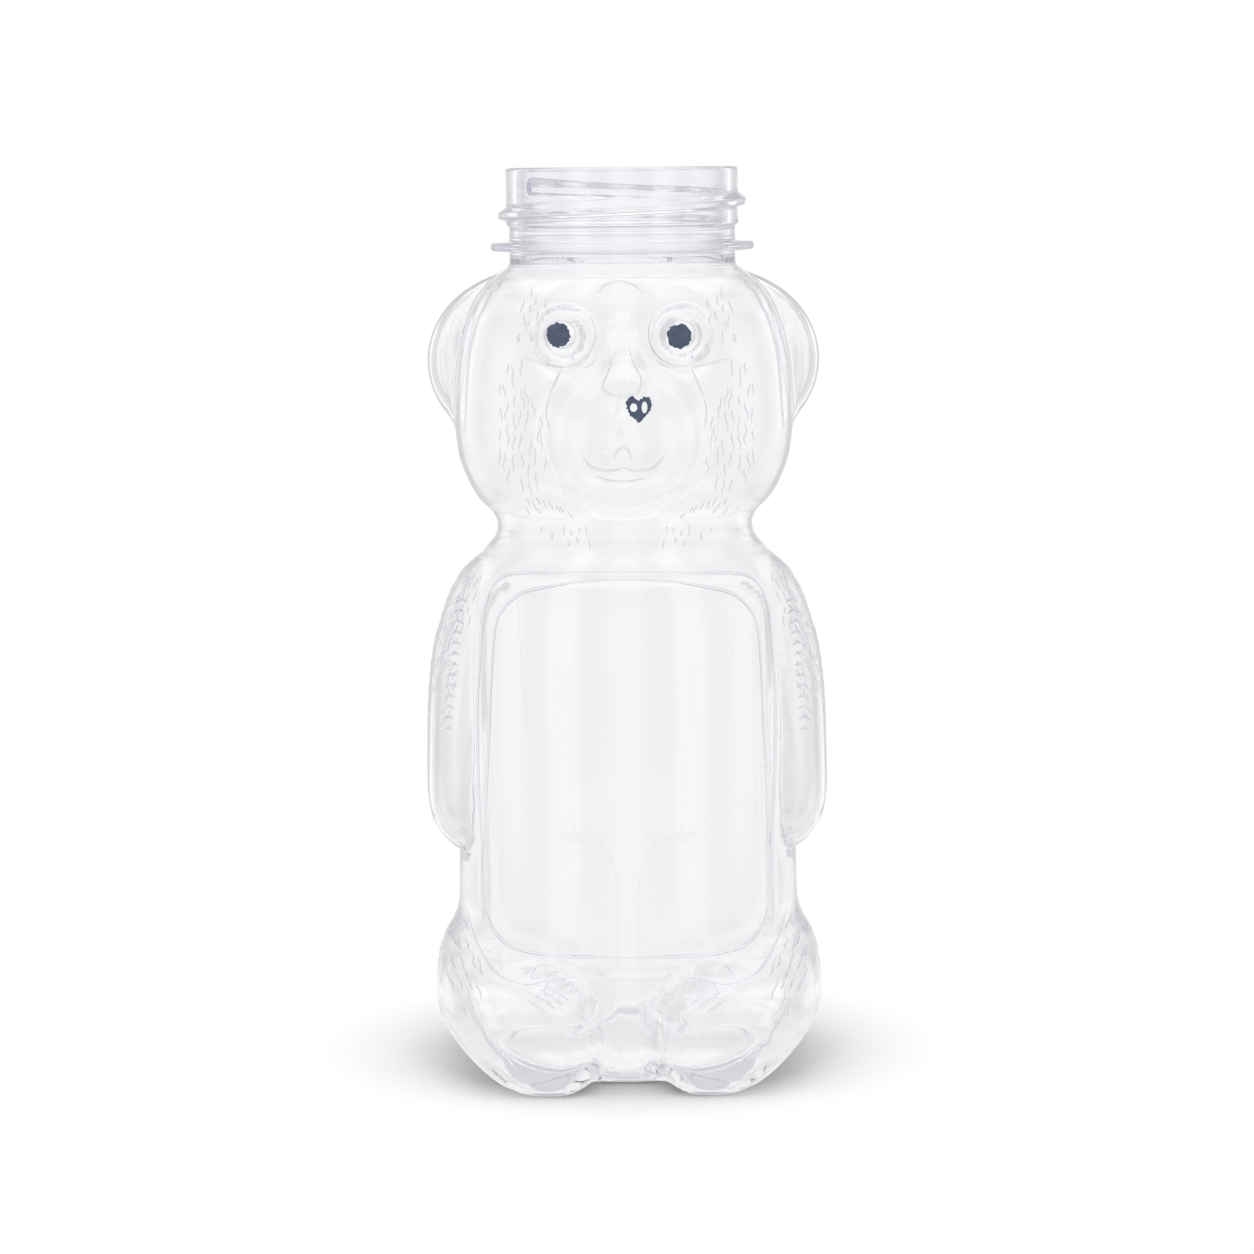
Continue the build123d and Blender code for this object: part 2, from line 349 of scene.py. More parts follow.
def fan_directions(columns):
    """Angles of the columns of points."""
    even = np.linspace(0, 2 * pi, 4097)
    crowd = (1.0 + EAR_CROWD[0] * np.exp(-(np.sin(even) / EAR_CROWD[1]) ** 2)
             + FEET_CROWD[0] * np.exp(-((even - 1.5 * pi) / FEET_CROWD[1]) ** 2))
    total = np.concatenate([[0], np.cumsum((crowd[1:] + crowd[:-1]) / 2)])
    return np.interp(np.arange(columns) / columns * total[-1], total, even)


def fan_point(angle, reach, level):
    """The point at that reach along a ray that fans out from a short line across the axis."""
    x, y = (FAN + reach) * np.cos(angle), reach * np.sin(angle)
    return np.stack([x, y, np.broadcast_to(level, reach.shape)], -1)


def outer_ring(angle, level):
    """Reach of the bear's outside at that level, for each column."""
    points = fan_point(angle[None, :], REACHES[:, None] + 0 * angle, level)
    inside = bear_form(*np.moveaxis(points, -1, 0)) < 0
    low = REACHES[len(REACHES) - 1 - np.argmax(inside[::-1], axis=0)]
    high = low + (REACHES[1] - REACHES[0])
    for _ in range(HALVINGS):
        middle = (low + high) / 2
        within = bear_form(*np.moveaxis(fan_point(angle, middle, level), -1, 0)) < 0
        low, high = np.where(within, middle, low), np.where(within, high, middle)
    return (low + high) / 2


def circle_reach(angle, radius):
    """Reach of a circle round the neck's axis, for each column."""
    along = FAN * np.cos(angle) ** 2
    return -along + np.sqrt(along ** 2 - FAN ** 2 * np.cos(angle) ** 2 + radius ** 2)


def thread_rise(angle, level, sizes):
    """Height of the single right-hand screw thread at that place, for each column."""
    turn = (pi - angle) % (2 * pi) / (2 * pi)
    end = sizes.thread_turns
    rise = np.zeros_like(angle)
    for lap in range(THREAD_LAPS):
        travel = turn + lap
        fade = ease(travel, *THREAD_LEAD_IN) * (1 - ease(travel, end - THREAD_LEAD_OUT, end))
        offset = level - (THREAD_START - sizes.thread_pitch / MM * travel)
        slope = np.where(offset > 0, (offset - CREST_HALF_WIDTH) / SLOPE_ABOVE,
                         (-offset - CREST_HALF_WIDTH) / SLOPE_UNDER)
        rise = np.maximum(rise, fade * (1 - np.clip(slope, 0.0, 1.0)))
    return rise * sizes.thread_height / MM


def neck_rings(angle, sizes):
    """Rings of the neck, from the collar up the thread and over the lip."""
    reach = circle_reach(angle, COLLAR_RADIUS)
    polar = np.arctan2(np.sin(angle) * reach, (FAN + reach) * np.cos(angle))
    rows = NECK_FOOT + [(level, THREADED_RADIUS + thread_rise(polar, level, sizes))
                        for level in THREADED_LEVELS] + NECK_TOP
    return [fan_point(angle, circle_reach(angle, radius), level) for level, radius in rows]


def base_rings(rim, table):
    """Rings of the table's radii and levels under a rim."""
    outline = rim[:, :2]
    length = np.hypot(outline[:, 0], outline[:, 1])[:, None]
    rings = []
    for radius, level in table:
        reach = np.minimum(radius, length - BASE_DRAW_IN * (BASE_EDGE - radius))
        rings.append(np.column_stack([outline / length * reach, np.full(len(rim), level)]))
    return rings


def ring_normals(grid):
    """Unit normals of a grid of rings, each averaged with its eight neighbours."""
    along = np.roll(grid, -1, axis=1) - np.roll(grid, 1, axis=1)
    normal = np.cross(along, np.gradient(grid, axis=0))
    normal = normal / np.maximum(np.linalg.norm(normal, axis=2, keepdims=True), 1e-9)
    rows = np.pad(normal, ((1, 1), (0, 0), (0, 0)), mode="edge")
    normal = sum(np.roll(rows, turn, axis=1)[1 + step:1 + step + len(grid)]
                 for turn in (-1, 0, 1) for step in (-1, 0, 1))
    return normal / np.linalg.norm(normal, axis=2, keepdims=True)


def tucked(inside, outside, angle):
    """The inside, pushed in where its coarser faces would come through the outside."""
    away = np.stack([np.cos(angle), np.sin(angle), 0 * angle], -1)
    outer, inner = [np.hypot(grid[..., 0] - FAN * away[:, 0], grid[..., 1])
                    for grid in (outside, inside)]
    count, skip = len(outer), INSIDE_STEP
    every = np.arange(count)
    chord = np.column_stack([np.interp(every, every[::skip], column) for column in inner[::skip].T])
    chord[:, 1::2] = (chord[:, ::2] + np.roll(chord[:, ::2], -1, axis=1)) / 2
    lack = np.pad(np.maximum(chord - outer + LEAST_WALL, 0), ((skip, skip), (0, 0)))
    push = np.max([np.roll(lack, turn, axis=1)[skip + step:skip + step + count]
                   for turn in (-1, 0, 1) for step in range(1 - skip, skip)], axis=0)
    return inside - push[..., None] * away


def bridge(first, second, count_first, count_second):
    """Faces between two closed rings, of which the second has as many points or half as many."""
    faces = []
    for i in range(count_second):
        j = (i + 1) % count_second
        if count_first == count_second:
            faces.append((first + i, first + j, second + j, second + i))
            continue
        a, b, c = first + 2 * i, first + 2 * i + 1, first + (2 * i + 2) % count_first
        faces += [(a, b, second + i), (b, second + j, second + i), (b, c, second + j)]
    return faces


def shell_mesh(sizes):
    """The whole bottle as one closed wall, outside and inside."""
    angle = fan_directions(sizes.columns)
    outside = np.array([fan_point(angle, outer_ring(angle, z), z) for z in BODY_LEVELS])
    rings = base_rings(outside[0], BASE_OUTSIDE)[::-1] + list(outside) + neck_rings(angle, sizes)

    # The inside follows the outside at the wall's thickness, with half as many columns
    inside = tucked(outside - sizes.wall / MM * ring_normals(outside), outside, angle)
    slim = angle[::2]
    rings += [fan_point(slim, circle_reach(slim, BORE_RADIUS), z) for z in BORE_LEVELS]
    for level, ring in list(zip(BODY_LEVELS, inside))[::INSIDE_STEP][::-1]:
        if level <= INSIDE_TOP:
            rings.append(ring[::2])
    rings += base_rings(rings[-1], BASE_INSIDE)

    points, starts, counts = [MIDDLE_OUTSIDE], [], []
    for ring in rings:
        starts.append(len(points))
        counts.append(len(ring))
        points.extend(map(tuple, ring))
    points.append(MIDDLE_INSIDE)
    count = counts[0]
    faces = [(0, starts[0] + (i + 1) % count, starts[0] + i) for i in range(count)]
    for lower, upper, count, count_upper in zip(starts, starts[1:], counts, counts[1:]):
        faces.extend(bridge(lower, upper, count, count_upper))
    last, start, count = len(points) - 1, starts[-1], counts[-1]
    return points, faces + [(last, start + i, start + (i + 1) % count) for i in range(count)]


# Tools for node trees


def field(tree, name, kind, default=None, way="INPUT"):
    """A socket of a node tree's own interface."""
    socket = tree.interface.new_socket(name=name, in_out=way, socket_type="NodeSocket" + kind)
    if default is not None:
        socket.default_value = default


def add(tree, kind, inputs, **settings):
    """The outputs of a new node, whose inputs are plain values or the outputs of other nodes."""
    node = tree.nodes.new(kind)
    for name, value in settings.items():
        setattr(node, name, value)
    for name, value in inputs.items():
        if isinstance(value, bpy.types.NodeSocket):
            tree.links.new(value, node.inputs[name])
        else:
            node.inputs[name].default_value = value
    return node.outputs


def calculate(tree, operation, *values):
    """The result of a maths node on one or two values."""
    return add(tree, "ShaderNodeMath", dict(enumerate(values)), operation=operation)[0]


def grey(level):
    """A colour of that brightness."""
    return (level, level, level, 1.0)


def mixed(tree, factor, first, second, blend="MIX"):
    """The mix of two colours."""
    inputs = {"Factor": factor, "A": first, "B": second}
    return add(tree, "ShaderNodeMix", inputs, data_type="RGBA", blend_type=blend)["Result"]


def ranged(tree, value, start, end, low=0.0, high=1.0):
    """Runs from low to high as the value goes from start to end."""
    inputs = {"Value": value, "From Min": start, "From Max": end, "To Min": low, "To Max": high}
    return add(tree, "ShaderNodeMapRange", inputs)["Result"]


def ramp(tree, value, stops):
    """A ramp through the (place, level) or (place, colour) stops."""
    colour = add(tree, "ShaderNodeValToRGB", {"Fac": value})["Color"]
    elements = colour.node.color_ramp.elements
    for place, _ in stops[1:-1]:
        elements.new(place)
    for element, (place, level) in zip(elements, stops):
        element.position = place
        element.color = (*level, 1.0) if isinstance(level, tuple) else grey(level)
    return colour


def new_material(name):
    """A material, its node tree and the inputs of its Principled shader."""
    material = bpy.data.materials.new(name)
    material.use_nodes = True
    return material, material.node_tree, material.node_tree.nodes["Principled BSDF"].inputs


# Materials

# Painted shade at the plastic's edges: how much light they let through, and how far a surface turns
# away before the shade starts
EDGE_SHADE_LEVEL = 0.8
EDGE_SHADE_START = 0.7

# Reflections, and surfaces in all, after which the renderer's own settings end a path of light
# inside the wall, and the painted glow that such a path gives instead of black
GLOSSY_DEPTH = 4
RAY_DEPTH = 12
PAINTED_GLOW = (0.3, 0.3, 0.31, 1.0)


def clear_plastic(colours):
    """Clear PET: sharp glossy glass of the plastic's own index, that takes a little light, with
    painted shade at its edges and a painted glow on paths that run too deep.
    """
    material, tree, shader = new_material("blown_plastic")
    shader["Transmission Weight"].default_value = 1.0
    shader["Roughness"].default_value = 0.0
    shader["IOR"].default_value = 1.57
    clear = tuple(colours.surface)
    facing = add(tree, "ShaderNodeLayerWeight", {"Blend": 0.5})["Facing"]
    # Painted shade: the colour darkens towards the edges as the surface turns away from view
    edge = ramp(tree, facing, [(0.0, clear), (EDGE_SHADE_START, clear), (1.0, EDGE_SHADE_LEVEL)])
    path = add(tree, "ShaderNodeLightPath", {})
    # Painted glow: where a path runs too deep, the plastic turns black and glows with this light
    # instead
    painted_glow_mask = calculate(tree, "MAXIMUM",
                     calculate(tree, "GREATER_THAN", path["Glossy Depth"], GLOSSY_DEPTH - 0.5),
                     calculate(tree, "GREATER_THAN", path["Ray Depth"], RAY_DEPTH - 0.5))
    tree.links.new(mixed(tree, painted_glow_mask, edge, grey(0.0)), shader["Base Color"])
    tree.links.new(mixed(tree, painted_glow_mask, grey(0.0), PAINTED_GLOW), shader["Emission Color"])
    shader["Emission Strength"].default_value = 1.0
    material.cycles.emission_sampling = "NONE"
    absorb = add(tree, "ShaderNodeVolumeAbsorption",
                 {"Color": (*colours.plastic, 1.0), "Density": colours.plastic_density})
    tree.links.new(absorb["Volume"], tree.nodes["Material Output"].inputs["Volume"])
    return material


def ink(colours):
    """Slate-blue screen-printing ink, a little uneven."""
    material, tree, shader = new_material("printed_ink")
    shader["Roughness"].default_value = 0.55
    place = add(tree, "ShaderNodeTexCoord", {})["Object"]
    noise = add(tree, "ShaderNodeTexNoise", {"Vector": place, "Scale": 900.0, "Detail": 3.0})
    thin = mixed(tree, noise["Fac"], (*colours.ink, 1.0), (*colours.ink_worn, 1.0))
    tree.links.new(thin, shader["Base Color"])
    return material


def shared_material(name, make):
    """The material of that name, made the first time that it is asked for."""
    return bpy.data.materials.get(name) or make(bpy.context.scene.bear_bottle.colours)


# Mesh pieces


def placed(name, mesh):
    """A new object of the scene, at the origin."""
    piece = bpy.data.objects.new(name, mesh)
    bpy.context.scene.collection.objects.link(piece)
    return piece


def new_piece(name, points, faces, material, smooth=True):
    """A mesh object from points in millimetres."""
    mesh = bpy.data.meshes.new(name)
    mesh.from_pydata([tuple(c * MM for c in point) for point in points], [], faces)
    mesh.validate()
    mesh.materials.append(material)
    if smooth:
        mesh.shade_smooth()
    return placed(name, mesh)


def ridge_tree():
    """Geometry Nodes: a rounded ridge along every line of edges, as wide as its points say."""
    tree = bpy.data.node_groups.get("ridge_along_lines")
    if tree:
        return tree
    tree = bpy.data.node_groups.new("ridge_along_lines", "GeometryNodeTree")
    field(tree, "Lines", "Geometry")
    field(tree, "Girth", "Float", 0.0003)
    field(tree, "Sides", "Int", 8)
    field(tree, "Plastic", "Material")
    field(tree, "Ridges", "Geometry", way="OUTPUT")
    given = add(tree, "NodeGroupInput", {})
    width = add(tree, "GeometryNodeInputNamedAttribute", {"Name": "width"}, data_type="FLOAT")
    curve = add(tree, "GeometryNodeMeshToCurve", {"Mesh": given["Lines"]})
    circle = add(tree, "GeometryNodeCurvePrimitiveCircle",
                 {"Resolution": given["Sides"], "Radius": given["Girth"]})
    sweep = add(tree, "GeometryNodeCurveToMesh",
                {"Curve": curve["Curve"], "Profile Curve": circle["Curve"],
                 "Scale": width["Attribute"], "Fill Caps": True})
    soft = add(tree, "GeometryNodeSetShadeSmooth", {"Geometry": sweep["Mesh"]})
    real = add(tree, "GeometryNodeRealizeInstances", {"Geometry": soft["Geometry"]})
    coat = add(tree, "GeometryNodeSetMaterial",
               {"Geometry": real["Geometry"], "Material": given["Plastic"]})
    add(tree, "NodeGroupOutput", {"Ridges": coat["Geometry"]})
    return tree


def grown(name, base, tree, values):
    """The plain mesh object that a Geometry Nodes tree grows from a base mesh."""
    carrier = placed(name, base)
    modifier = carrier.modifiers.new("growth", "NODES")
    modifier.node_group = tree
    for socket in tree.interface.items_tree:
        if socket.in_out == "INPUT" and socket.name in values:
            modifier[socket.identifier] = values[socket.name]
    evaluated = carrier.evaluated_get(bpy.context.evaluated_depsgraph_get())
    mesh = bpy.data.meshes.new_from_object(evaluated)
    bpy.data.objects.remove(carrier)
    return placed(name, mesh)


# Lines of the mould, drawn where the photograph shows them and laid on the shell

# Pixel of the photograph that the middle of the face is on
MIDDLE_PIXEL = 626.5

# A ridge is this share of its full width at its tips, and swells to it this steeply
TIP_WIDTH = 0.25
SWELL = 4.5

# Pixels between a line's points, and the longest step on the shell that still joins two of them
LINE_STEP = 3.0
LONGEST_STEP = 3.0

# A ridge lies sunk by this share of its half width
FUR_SUNK = 0.45
LINE_SUNK = 0.5

# How stout the panel's edge and the base's stipple are beside the other lines
PANEL_EDGE_STOUT = 1.5
STIPPLE_STOUT = 0.6

# On the sides the outlines are this many times the depth and the negative level in millimetres
SIDE_SCALE = 6.5
SIDE_DISTANCE = 50


def camera_turn():
    """The camera's rotation: looking along +Y, pitched down and rolled."""
    level = Euler((radians(90 - CAMERA_PITCH), 0, 0)).to_matrix()
    roll = Euler((0, 0, radians(CAMERA_ROLL))).to_matrix()
    return level @ roll


def sight(surface, x, y):
    """Point and normal of a surface that a pixel of the photograph sees, in metres."""
    ray = Vector((x - IMAGE_SIDE / 2, IMAGE_SIDE / 2 - y, -FOCAL_PIXELS)).normalized()
    return surface.ray_cast(Vector(CAMERA_PLACE) * MM, camera_turn() @ ray)[:2]


def side_sight(surface, side, x, y):
    """Point and normal of a surface that is seen from its own side, in metres."""
    start = Vector((side * SIDE_DISTANCE, x / SIDE_SCALE, -y / SIDE_SCALE)) * MM
    return surface.ray_cast(start, Vector((-side, 0, 0)))[:2]


def shell_surface():
    """The shell's faces, for rays."""
    mesh = bpy.data.objects["bottle_shell"].data
    return BVHTree.FromPolygons([v.co for v in mesh.vertices],
                                [list(p.vertices) for p in mesh.polygons])


def travelled(line):
    """How far along a line of pixel points each of them is."""
    return np.concatenate([[0], np.cumsum(np.hypot(*np.diff(line, axis=0).T))])


def round_line(pixels):
    """A smooth line through pixel points, as close points."""
    pixels = np.array(pixels, float)
    travel = travelled(pixels)
    line = smooth_table(np.column_stack([travel, pixels]))
    count = max(4, int(travel[-1] / LINE_STEP) + 1)
    return np.stack(line(np.linspace(0, travel[-1], count)), -1)


def laid(lines, see, sunk):
    """The lines as points on the shell, sunk into it; see gives the point and normal at a place."""
    found = []
    for line in lines:
        points = []
        for x, y in round_line(line):
            point, normal = see(x, y)
            if point is None or (points and (point - points[-1]).length >= LONGEST_STEP * MM):
                continue
            points.append(point - normal * sunk)
        if len(points) > 2:
            found.append(points)
    return found


def ridges(name, lines, girth, sides):
    """One piece of ridges along lines of points in metres, each swollen in its middle."""
    points, edges, widths = [], [], []
    for line in lines:
        for i, point in enumerate(line):
            share = i / (len(line) - 1)
            points.append(tuple(point))
            widths.append(TIP_WIDTH + (1 - TIP_WIDTH) * min(1.0, SWELL * share * (1 - share)))
            if i:
                edges.append((len(points) - 2, len(points) - 1))
    base = bpy.data.meshes.new(name)
    base.from_pydata(points, edges, [])
    base.attributes.new("width", "FLOAT", "POINT").data.foreach_set("value", widths)
    plastic = shared_material("blown_plastic", clear_plastic)
    piece = grown(name, base, ridge_tree(), {"Girth": girth, "Sides": sides, "Plastic": plastic})
    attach(piece, "root")


def mirrored(lines):
    """The lines and the same lines on the other side of the face."""
    return lines + [[(2 * MIDDLE_PIXEL - x, y) for x, y in line] for line in lines]


# How uneven the fur is: places as shares of the spacing, length, lean, wave as a share of length
FUR_STRAY = (0.4, 0.2)
FUR_LENGTHS = (0.6, 1.3)
FUR_LEANS = 0.12
FUR_WAVES = (0.03, 0.09)

# Outline in pixels, spacing across and along, length of a stroke, its lean, seed
FRONT_FUR = [
    # Cheek
    ([(503, 358), (522, 360), (530, 392), (545, 415), (546, 478), (524, 494), (500, 474),
      (491, 410)], 7.5, 23, 19, 0.0, 3),
    # Temple
    ([(520, 292), (548, 290), (545, 318), (530, 352), (514, 346)], 8.0, 15, 11, -0.15, 5),
    # Upper arm
    ([(474, 560), (485, 572), (463, 640), (447, 722), (430, 724), (436, 655), (451, 600)],
     6.5, 11, 10, -0.35, 7),
    # Thigh
    ([(447, 930), (462, 912), (480, 955), (486, 1012), (462, 1016), (444, 965)],
     7.0, 22, 19, 0.35, 11),
    # Chin and throat
    ([(520, 500), (574, 502), (574, 516), (524, 514)], 6.0, 12, 8, 0.6, 13),
    ([(534, 524), (592, 530), (590, 546), (540, 540)], 9.0, 12, 9, 0.1, 17),
]
SIDE_FUR = [
    # Arm
    ([(-40, -485), (30, -480), (45, -420), (20, -350), (-30, -330), (-62, -400)],
     7.0, 15, 13, 0.25, 23),
    # Thigh
    ([(-70, -128), (0, -150), (45, -130), (60, -85), (5, -40), (-65, -48), (-85, -90)],
     8.0, 19, 15, 0.4, 29),
]

# Mouth, crease under it, nose, brow
FACE_LINES = [
    [(582, 455), (590, 466), (605, 471), (617, 470), (624, 467.5)],
    [(624, 467.5), (634, 471), (648, 470), (658, 464), (665, 455)],
    [(613, 461), (618, 450), (623, 447.5), (628, 450), (632, 461)],
    [(595, 476), (610, 481), (624, 482), (644, 479)],
    [(616, 350), (607, 374), (602, 386), (610, 394), (624, 396), (637, 393), (642, 380),
     (634, 364), (629, 348)],
    [(597, 293), (606, 284), (619, 281), (633, 284), (643, 293)],
]
CHEEK_LINES = [
    [(523, 358), (545, 364), (562, 367)], [(562, 367), (555, 382), (549, 396)],
    [(549, 396), (546, 412), (549, 430)], [(583, 368), (591, 364), (597, 358)],
]

# The foot, its toes, and the hand
LIMB_LINES = [
    [(463, 898), (476, 940), (491, 967), (507, 979), (529, 984), (552, 980), (573, 986),
     (588, 1003), (596, 1018)],
    [(596, 1018), (601, 1032), (603, 1046)],
    [(539, 989), (552, 996), (563, 1006)], [(545, 985), (558, 992), (569, 1001)],
    [(533, 994), (545, 1000), (556, 1010)], [(528, 1000), (538, 1006), (547, 1013)],
    [(464, 794), (465, 801), (463, 805)], [(466, 810), (461, 817), (465, 820)],
    [(462, 826), (461, 834)], [(466, 827), (464, 834), (460, 832)], [(459, 842), (464, 847)],
]
PANEL_LINES = [
    [(628, 572), (570, 572), (518, 573), (503, 576), (489, 592), (483, 614), (479, 665),
     (477, 720), (478, 778), (481, 840), (483, 893)],
    [(483, 893), (487, 915), (498, 936), (517, 949), (560, 956), (628, 958)],
    [(628, 580), (590, 581), (552, 586), (522, 593), (505, 606), (496, 622), (492, 660),
     (489, 730), (486, 800), (484, 850)],
]

# Ribs across the inner side of the arm: how many, place of the first, travel to the last
RIB_COUNT = 13
RIB_START = (461, 600)
RIB_TRAVEL = (-14, 128)

# Middles of the two eyes, and the radius, start and end of the rings round them
EYE_MIDDLES = ((562, 334), (682, 333))
EYE_RINGS = ((13.5, 0.0, 2 * pi), (33.0, -0.6, 0.85 * pi))

# Short ridges across the ring that the bottle stands on
STIPPLE_COUNT = 150
STIPPLE_START = (19.5, 19.8)
STIPPLE_LENGTH = (0.6, 1.3)
STIPPLE_SKEW = 0.02
STIPPLE_LIFT = 1.15


def inside_outline(outline, x, y):
    """Whether a pixel is inside a closed outline."""
    inside = False
    for (ax, ay), (bx, by) in zip(outline, outline[1:] + outline[:1]):
        if (ay > y) != (by > y) and x < ax + (y - ay) / (by - ay) * (bx - ax):
            inside = not inside
    return inside


def fur(outline, across, along, length, lean, seed):
    """Short wavy strokes that fill an outline: spacing across and along, length and lean."""
    chance = np.random.default_rng(seed)
    xs, ys = zip(*outline)
    strokes = []
    x = min(xs)
    while x < max(xs):
        y = min(ys) - along * chance.uniform(0, 1)
        while y < max(ys):
            px = x + chance.uniform(-FUR_STRAY[0], FUR_STRAY[0]) * across
            py = y + chance.uniform(-FUR_STRAY[1], FUR_STRAY[1]) * along
            if inside_outline(outline, px, py):
                reach = length * chance.uniform(*FUR_LENGTHS) / 2
                tilt = lean + chance.uniform(-FUR_LEANS, FUR_LEANS)
                wave = chance.choice((-1, 1)) * chance.uniform(*FUR_WAVES) * length
                strokes.append([
                    (px - tilt * reach, py - reach),
                    (px - tilt * reach / 3 + wave, py - reach / 3),
                    (px + tilt * reach / 3 - wave, py + reach / 3),
                    (px + tilt * reach, py + reach),
                ])
            y += along
        x += across
    return strokes


def arm_ribs():
    """Short ribs across the inner side of the arm."""
    ribs = []
    for share in np.arange(RIB_COUNT) / (RIB_COUNT - 1):
        x = RIB_START[0] + RIB_TRAVEL[0] * share ** 0.7
        y = RIB_START[1] + RIB_TRAVEL[1] * share
        ribs.append([(x - 7, y + 3), (x, y - 1), (x + 6, y + 2)])
    return ribs


def eye_rings():
    """Round each eye a small closed ring, and a wide one that is open above."""
    rings = []
    for x, y in EYE_MIDDLES:
        side = 1 if x > MIDDLE_PIXEL else -1
        for radius, start, end in EYE_RINGS:
            rings.append([(x - side * radius * cos(t), y + radius * sin(t))
                          for t in np.linspace(start, end, 15)])
    return rings


def stipple(girth):
    """Short ridges across the ring that the bottle stands on, in metres."""
    chance = np.random.default_rng(19)
    marks = []
    for turn in np.arange(0, 2 * pi, 2 * pi / STIPPLE_COUNT):
        start, length = chance.uniform(*STIPPLE_START), chance.uniform(*STIPPLE_LENGTH)
        skew = chance.uniform(-STIPPLE_SKEW, STIPPLE_SKEW)
        marks.append([Vector((r * cos(turn + skew * k), r * sin(turn + skew * k), 0)) * MM
                      + Vector((0, 0, girth * STIPPLE_LIFT))
                      for k, r in enumerate(np.linspace(start, start + length, 4))])
    return marks


# The printed eyes and nose

# Heights over the shell of the print's top and underside, and its rings from the edge to the hole
PRINT_LIFTS = (0.16, 0.03)
PRINT_SHARES = (0.0, 0.25, 0.5, 0.75, 1.0)

# A print without a hole closes to this share of itself
PRINT_MIDDLE = 0.02

# Piece, node that it replaces, then middle, radii and seed of the outline in pixels
EYE_PRINTS = [
    ("eye_ink_left", "left_eye_print", (558.8, 335.3, 11.6, 12.2, 1)),
    ("eye_ink_right", "right_eye_print", (679.3, 336.5, 12.0, 12.4, 2)),
]
EYE_POINTS = 40
EYE_ROUGHNESS = 0.10

# Left and right half of the nose's outline, each with the middle and the radii of its hole
NOSE_HALVES = [
    ([(639, 401.5), (636, 398.4), (632.5, 396.8), (628.8, 398), (626.2, 402), (626.4, 408),
      (629.2, 414), (633.6, 418.6), (638.8, 423.4), (640.4, 412)], (633.5, 407.6), (3.7, 4.2)),
    ([(639, 401.5), (642.2, 398), (646, 396.8), (649.6, 398.4), (651.6, 403), (650.8, 409),
      (647.6, 414.6), (643.4, 419), (638.8, 423.4), (638.2, 412)], (644.3, 407.4), (3.1, 5.9)),
]
NOSE_STEP = 1.9
NOSE_ROUGHNESS = 1.1


def ragged_round(x, y, across, up, seed):
    """A rough round outline in pixels."""
    chance = np.random.default_rng(seed)
    outline = []
    for turn in 2 * pi * np.arange(EYE_POINTS) / EYE_POINTS:
        reach = 1 + chance.uniform(-EYE_ROUGHNESS, EYE_ROUGHNESS * 0.6)
        outline.append((x + across * reach * cos(turn), y + up * reach * sin(turn)))
    return np.array(outline)


def ragged_half(outline, seed):
    """Half of the nose with close points, each pushed a little in or out, in pixels."""
    chance = np.random.default_rng(seed)
    outline = np.array(outline + outline[:1], float)
    travel = travelled(outline)
    where = np.linspace(0, travel[-1], int(travel[-1] / NOSE_STEP), endpoint=False)
    line = np.column_stack([np.interp(where, travel, column) for column in outline.T])
    away = line - line.mean(axis=0)
    away = away / np.maximum(np.hypot(*away.T)[:, None], 1e-6)
    return line + away * chance.uniform(-NOSE_ROUGHNESS, NOSE_ROUGHNESS, (len(line), 1))


def printed_spot(name, node, patches):
    """A thin print on the shell, from patches of (outline, inner line) in pixels."""
    surface = shell_surface()
    points, faces = [], []
    for outline, core in patches:
        count, half, starts = len(outline), len(PRINT_SHARES), []
        for lift in PRINT_LIFTS:
            for share in PRINT_SHARES:
                starts.append(len(points))
                for x, y in outline + (core - outline) * share:
                    point, normal = sight(surface, x, y)
                    points.append(tuple((point + normal * (lift * MM)) / MM))
        order = starts[:half] + starts[:half - 1:-1]
        for first, second in zip(order, order[1:] + order[:1]):
            faces.extend(bridge(first, second, count, count))
    piece = new_piece(name, points, faces, shared_material("printed_ink", ink), smooth=False)
    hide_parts(node)
    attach(piece, "root")


# The stage

# Brightness of the room as gloss and glass see it, from straight down (0) to straight up (1)
ROOM_HEIGHTS = [(0, 0.8), (0.42, 0.9), (0.5, 1), (0.62, 1), (0.68, 0.65), (0.80, 0.65),
                (0.86, 1.3), (1, 1.4)]

# Brightness of the room as the floor and the print are lit by it
ROOM_LIGHT = [(0, 0.5), (0.5, 0.22), (0.7, 0.67), (1, 1.57)]

# Dark flags stand beside each of the room's white sides, with soft boxes on the diagonals: 0 is
# the middle of a side, 1 a diagonal
ROOM_FLAGS = [(0, 1), (0.18, 1), (0.36, 0.75), (0.66, 0.75), (0.84, 1.15), (1, 1.15)]

FLOOR_HALF_SIDE = 20000

# Distances from the axis in metres: where the flags reach full strength in the floor, then where
# the floor's painted glow changes and where that painted glow covers the shadow, each with its two
# levels
FLAGS_FULL = 0.3
GLOW_CHANGE = (0.015, 0.12, 0.92, 0.94)
GLOW_OVER_SHADOW = (0.031, 0.047, 0.0, 0.95)

# The floor's painted white glow as the camera sees it
FLOOR_WHITE = 1.08


def room_flags(tree, direction):
    """How bright the room is in a direction, by its turn from the nearest axis: a node group."""
    group = bpy.data.node_groups.get("room_flags")
    if not group:
        group = bpy.data.node_groups.new("room_flags", "ShaderNodeTree")
        field(group, "Direction", "Vector")
        field(group, "Level", "Color", way="OUTPUT")
        given = add(group, "NodeGroupInput", {})
        apart = add(group, "ShaderNodeSeparateXYZ", {"Vector": given["Direction"]})
        turn = calculate(group, "ARCTAN2", apart["Y"], apart["X"])
        share = calculate(group, "PINGPONG", calculate(group, "DIVIDE", turn, pi / 4), 1.0)
        add(group, "NodeGroupOutput", {"Level": ramp(group, share, ROOM_FLAGS)})
    return add(tree, "ShaderNodeGroup", {"Direction": direction}, node_tree=group)["Level"]


